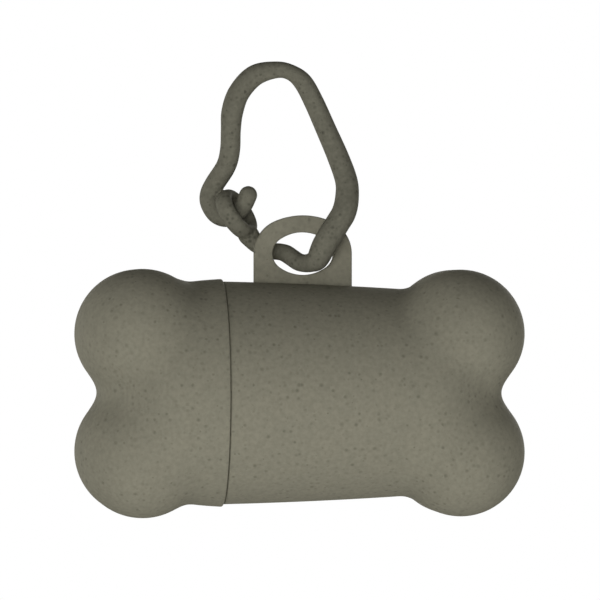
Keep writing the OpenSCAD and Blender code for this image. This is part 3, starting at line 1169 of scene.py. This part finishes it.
    def build(self, shop: Workshop) -> None:
        """Builds the clip, with the strand and the eye welded softly into one.

        Args:
            shop: Where pieces are finished.
        """
        rough = placed("clip_parts", to_mesh("clip_parts", joined([self._strand(), self._eye()])))
        weld = rough.modifiers.new("weld", "REMESH")
        weld.mode = "VOXEL"
        weld.voxel_size = self.weld_mm
        shape = evaluated(rough)
        bpy.data.objects.remove(rough)
        axes = {"use_axis_x": True, "use_axis_y": True, "use_axis_z": True}
        for _ in range(self.smoothings):
            bmesh.ops.smooth_vert(shape, verts=shape.verts, factor=0.5, **axes)
        made = shop.piece("clip_strand", shape, self.places.hole, self.plastic, Body.CLIP, Slot.CLIP, 80.0)
        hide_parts("clip")


@dataclass
class BagRoll:
    """The roll of bags: wound film on a paper core."""

    places: Places
    finishes: Finishes
    middle: Point = (0.4, 0.0, -3.2)
    length: float = 53.0
    radius: float = 13.3
    core_r: float = 6.0
    core_wall: float = 0.7
    core_gap: float = 0.1
    core_proud: float = 0.4
    core_soft: float = 0.12
    layers: int = 22
    shoulder: float = 0.35
    inset: float = 0.12
    inset_more: float = 0.3
    step: float = 0.3
    edge: float = 0.5
    layer_from: float = 0.25
    layer_to: float = 0.95
    wave_from: float = 1.2
    wave: float = 0.1
    columns: int = 120
    core_columns: int = 96

    @property
    def centre(self) -> Vector:
        """Middle of the roll in the frame."""
        return self.places.bone + Vector(self.middle)

    def _winding(self) -> Shape:
        """Turns the wound film, whose ends show its layers.

        Returns:
            The closed winding.
        """
        half = self.length / 2.0
        inner = self.core_r + self.core_gap
        pitch = (self.radius - self.shoulder - inner) / self.layers
        end: Profile = []
        for layer in range(self.layers):
            depth = self.inset + self.inset_more * abs(math.sin(2.4 * layer + 0.7))
            end.append((half - depth, inner + pitch * (layer + self.layer_from)))
            end.append((half - depth - self.step, inner + pitch * (layer + self.layer_to)))
        outer = [(half - 0.15, self.radius - 0.3), (half - self.edge, self.radius - 0.04)]
        side = [(half * part, self.radius - 0.05 * (part * part < 0.4)) for part in (0.8, 0.6, 0.4, 0.2, 0.0)]
        right = [(half - self.edge, inner)] + end + outer + side
        left = [(-along, r) for along, r in reversed(right[:-1])]
        shape = turned(right + left + right[:1], self.columns)
        for vert in shape.verts:
            a = math.atan2(vert.co.z, vert.co.y)
            out = math.hypot(vert.co.y, vert.co.z)
            if abs(vert.co.x) > half - self.wave_from:
                vert.co.x += math.copysign(self.wave, vert.co.x) * (math.sin(3 * a + out * 1.9) - 1.0)
        return outward(shape)

    def _core(self) -> Shape:
        """Turns the paper tube.

        Returns:
            The closed tube.
        """
        half = self.length / 2.0 + self.core_proud
        inner = self.core_r - self.core_wall
        soft = self.core_soft
        profile = [
            (-half, inner + soft), (-half, self.core_r - soft), (-half + soft, self.core_r), (0.0, self.core_r),
            (half - soft, self.core_r), (half, self.core_r - soft), (half, inner + soft), (half - soft, inner),
            (0.0, inner), (-half + soft, inner), (-half, inner + soft),
        ]
        return outward(turned(profile, self.core_columns))

    def build(self, shop: Workshop) -> None:
        """Builds the roll and its core.

        Args:
            shop: Where pieces are finished.
        """
        film = self.finishes.film.material("wound film", True)
        roll = shop.piece("wound_bags", self._winding(), self.centre, film, Body.ROLL, Slot.FILM, 60.0)
        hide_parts("bag_roll")
        board = self.finishes.board.material("core board", tuple(self.centre))
        core = shop.piece("paper_core", self._core(), self.centre, board, Body.ROLL, Slot.PAPER)
        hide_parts("roll_core")


@dataclass
class LeadingBag:
    """Free end of the first bag, gathered through the slot and hanging outside."""

    places: Places
    film: Material
    flat_w: float = 45.0
    middle_x: float = 4.0
    roll_y: float = 13.95
    roll_z: float = -3.0
    lip_y: float = 20.2
    lip_z: float = -2.4
    drop: float = 13.5
    pleats: int = 6
    roll_w: float = 30.0
    lip_w: float = 18.0
    lip_share: float = 0.33
    spread: float = 12.0
    teeth: int = 6
    tooth: float = 0.25
    halvings: int = 30
    film_t: float = 0.12
    across: int = 240
    along: int = 60

    def _middle_line(self, s: float) -> Tuple[Vector, Vector]:
        """Middle line of the film.

        Args:
            s: Share of its length, from the roll to its free end.

        Returns:
            A point in the YZ plane, and the direction that its pleats stand in.
        """
        knots = [
            Vector((self.roll_y, self.roll_z)), Vector((16.8, -2.6)), Vector((self.lip_y - 0.6, self.lip_z)),
            Vector((21.9, -3.6)), Vector((22.7, -7.2)), Vector((23.1, -11.5)), Vector((23.5, self.lip_z - self.drop)),
        ]
        padded = [knots[0] * 2 - knots[1]] + knots + [knots[-1] * 2 - knots[-2]]
        place = min(s, 0.99999) * (len(knots) - 1)
        i = int(place)
        t = place - i
        before, here, after, beyond = padded[i : i + 4]
        way = (
            (after - before) + 2 * (2 * before - 5 * here + 4 * after - beyond) * t
            + 3 * (3 * here - before - 3 * after + beyond) * t**2
        ).normalized()
        return eased(before, here, after, beyond, t), Vector((-way.y, way.x))

    def _width(self, s: float) -> float:
        """Width that the film is gathered to.

        Args:
            s: Share of its length, from the roll to its free end.

        Returns:
            The width.
        """
        if s < self.lip_share:
            return self.roll_w + (self.lip_w - self.roll_w) * s / self.lip_share
        return self.lip_w + self.spread * (s - self.lip_share) ** 0.8

    def _section(self, s: float) -> List[Tuple[float, float]]:
        """The pleated section, whose length along the film stays the flat width.

        Args:
            s: Share of the film's length.

        Returns:
            Points as (place across, height of the pleat).
        """
        width = self._width(s)
        shares = np.linspace(-0.5, 0.5, self.across + 1)
        wave = np.sin(shares * math.tau * self.pleats + 1.1 * np.sin(5.0 * shares + 1.5 * s))
        wave = wave * (0.75 + 0.25 * np.cos(9.0 * shares + 3.0 * s))
        low, high = 0.0, 6.0
        for _ in range(self.halvings):
            depth = (low + high) / 2.0
            length = np.sum(np.hypot(np.diff(shares * width), np.diff(wave * depth)))
            low, high = (depth, high) if length < self.flat_w else (low, depth)
        return list(zip(shares * width, wave * depth))

    def build(self, shop: Workshop) -> None:
        """Builds the film.

        Args:
            shop: Where pieces are finished.
        """
        shape = bmesh.new()
        bmesh.ops.create_grid(shape, x_segments=self.across, y_segments=self.along, size=0.5)
        sections = {row: self._section(row / self.along) for row in range(self.along + 1)}
        centres = [self._middle_line(row / self.along) for row in range(self.along + 1)]
        for vert in shape.verts:
            column = round((vert.co.x + 0.5) * self.across)
            row = round((vert.co.y + 0.5) * self.along)
            across, height = sections[row][column]
            at, stand = centres[row]
            torn = self.tooth * (column % self.teeth < self.teeth / 2) if row == self.along else 0.0
            shift = at + stand * height
            vert.co = (self.middle_x + across, shift.x, shift.y - torn)
        area = sum(face.calc_area() for face in shape.faces)
        sheet = shop.piece("first_bag", shape, self.places.bone, self.film, Body.DISPENSER, Slot.FILM, 180.0)
        wall = sheet.modifiers.new("film", "SOLIDIFY")
        wall.thickness = self.film_t * MM
        wall.offset = 0.0
        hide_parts("leading_bag")
        flat = (self.flat_w * MM, area / self.flat_w * MM)
        LOG.info("first_bag is cut %.1f by %.1f mm", flat[0] / MM, flat[1] / MM)


@dataclass
class Studio:
    """Pale floor, plain soft light and the camera."""

    places: Places
    away: float = 900.0
    azimuth: float = -5.3
    scale: float = 0.1776
    image_px: float = 600.0
    bone_column: float = 300.4
    bone_row: float = 392.7
    floor_z: float = -950.0
    floor_glow: float = 0.95
    ambient: float = 0.11
    floor_w: float = 12.0
    lamp_away: float = 0.75
    lamp_w: float = 0.35
    lamps: Tuple[Tuple[str, float, float, float], ...] = (
        ("front_box", -12.0, 0.0, 0.475),
        ("left_box", -45.0, -18.0, 0.35),
        ("low_box", 55.0, -35.0, 0.33),
        ("back_left_box", -134.0, 4.0, 0.4),
        ("back_right_box", 152.0, 12.0, 0.6),
    )

    @staticmethod
    def _back(azimuth: float, elevation: float) -> Vector:
        """Direction from the bone to what looks at it from an azimuth and elevation, in degrees."""
        turn, lean = math.radians(azimuth), math.radians(elevation)
        return Vector((math.sin(turn) * math.cos(lean), -math.cos(turn) * math.cos(lean), math.sin(lean)))

    @staticmethod
    def _aimed(name: str, data: bpy.types.ID, at: Vector, back: Vector) -> Object:
        """Places a camera or lamp.

        Args:
            name: Its name.
            data: The camera or lamp.
            at: Its place, in metres.
            back: The direction that it looks away from.

        Returns:
            The placed object.
        """
        made = placed(name, data)
        made.location = at
        made.rotation_mode = "QUATERNION"
        made.rotation_quaternion = (-back).to_track_quat("-Z", "Y")
        return made

    def _camera(self) -> None:
        """Places the camera at the photograph's view."""
        data = bpy.data.cameras.new("camera")
        data.sensor_width = 36.0
        data.lens = data.sensor_width * self.away / (self.image_px * self.scale)
        data.clip_start = 0.01
        data.clip_end = 20.0
        turn = math.radians(self.azimuth)
        back = self._back(self.azimuth, 0.0)
        right = Vector((math.cos(turn), math.sin(turn), 0.0))
        up = Vector((0.0, 0.0, 1.0))
        middle = self.image_px / 2.0
        aim = self.places.bone + (up * (self.bone_row - middle) - right * (self.bone_column - middle)) * self.scale
        bpy.context.scene.camera = self._aimed("camera", data, (aim + back * self.away) * MM, back)

    def _lamp(self, name: str, azimuth: float, elevation: float, share: float) -> None:
        """Adds a soft square lamp that looks at the bone.

        Args:
            name: The lamp's name.
            azimuth: Its side, as the camera's.
            elevation: Its height above the bone's level, in degrees.
            share: Its light, where 1 alone shows a facing colour as it is written.
        """
        data = bpy.data.lights.new(name, "AREA")
        data.shape = "SQUARE"
        data.size = self.lamp_w
        data.energy = share * math.pi**2 * self.lamp_away**2
        back = self._back(azimuth, elevation)
        lamp = self._aimed(name, data, self.places.bone * MM + back * self.lamp_away, back)
        lamp.visible_camera = False

    def _floor(self) -> None:
        """Lays the pale floor, which the camera sees as white where it is lit."""
        sheet = NodeSheet(bpy.data.materials.new("pale floor"))
        plain = sheet.node("ShaderNodeBsdfDiffuse", None, {"Color": (0.8, 0.8, 0.79, 1.0)})[0]
        strength = sheet.seen() * self.floor_glow
        glow = sheet.node("ShaderNodeEmission", None, {"Color": WHITE, "Strength": strength})[0]
        both = sheet.node("ShaderNodeAddShader", None, {0: plain, 1: glow})[0]
        sheet.node("ShaderNodeOutputMaterial", None, {0: both})
        shape = bmesh.new()
        bmesh.ops.create_grid(shape, x_segments=1, y_segments=1, size=self.floor_w / 2.0)
        bmesh.ops.translate(shape, vec=(0.0, 0.0, self.floor_z * MM), verts=shape.verts)
        mesh = to_mesh("floor", shape)
        mesh.materials.append(sheet.owner)
        placed("floor", mesh)

    def _world(self) -> None:
        """A white surrounding that the camera and reflections see, and a faint one that lights the object."""
        bpy.context.scene.world = bpy.data.worlds.new("studio")
        sheet = NodeSheet(bpy.context.scene.world)
        strength = self.ambient + (1.0 - self.ambient) * sheet.seen()
        white = sheet.node("ShaderNodeBackground", None, {"Color": WHITE, "Strength": strength})[0]
        sheet.node("ShaderNodeOutputWorld", None, {0: white})

    def build(self) -> None:
        """Sets up the camera, the lamps, the floor and the world."""
        bpy.context.scene.view_settings.view_transform = "Standard"
        self._camera()
        for lamp in self.lamps:
            self._lamp(*lamp)
        self._floor()
        self._world()


def main() -> None:
    """Builds the object's pieces in order and reports them."""
    logging.basicConfig(level=logging.INFO, format="%(message)s")
    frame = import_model()
    swing = next(joint for joint in frame["joints"] if joint["name"] == "body_swing")
    places = Places(Vector(swing["pos_m"]) / MM)
    finishes = Finishes()
    shop = Workshop()
    shell = finishes.shell.material("speckled shell plastic")
    DispenserBody(places, shell).build(shop)
    EndCap(places, shell).build(shop)
    Clip(places, finishes.clip.material("speckled clip plastic")).build(shop)
    BagRoll(places, finishes).build(shop)
    LeadingBag(places, finishes.film.material("loose film", False)).build(shop)
    Studio(places).build()
    LOG.info("%d pieces made", len(shop.made))


if __name__ == "__main__":
    main()
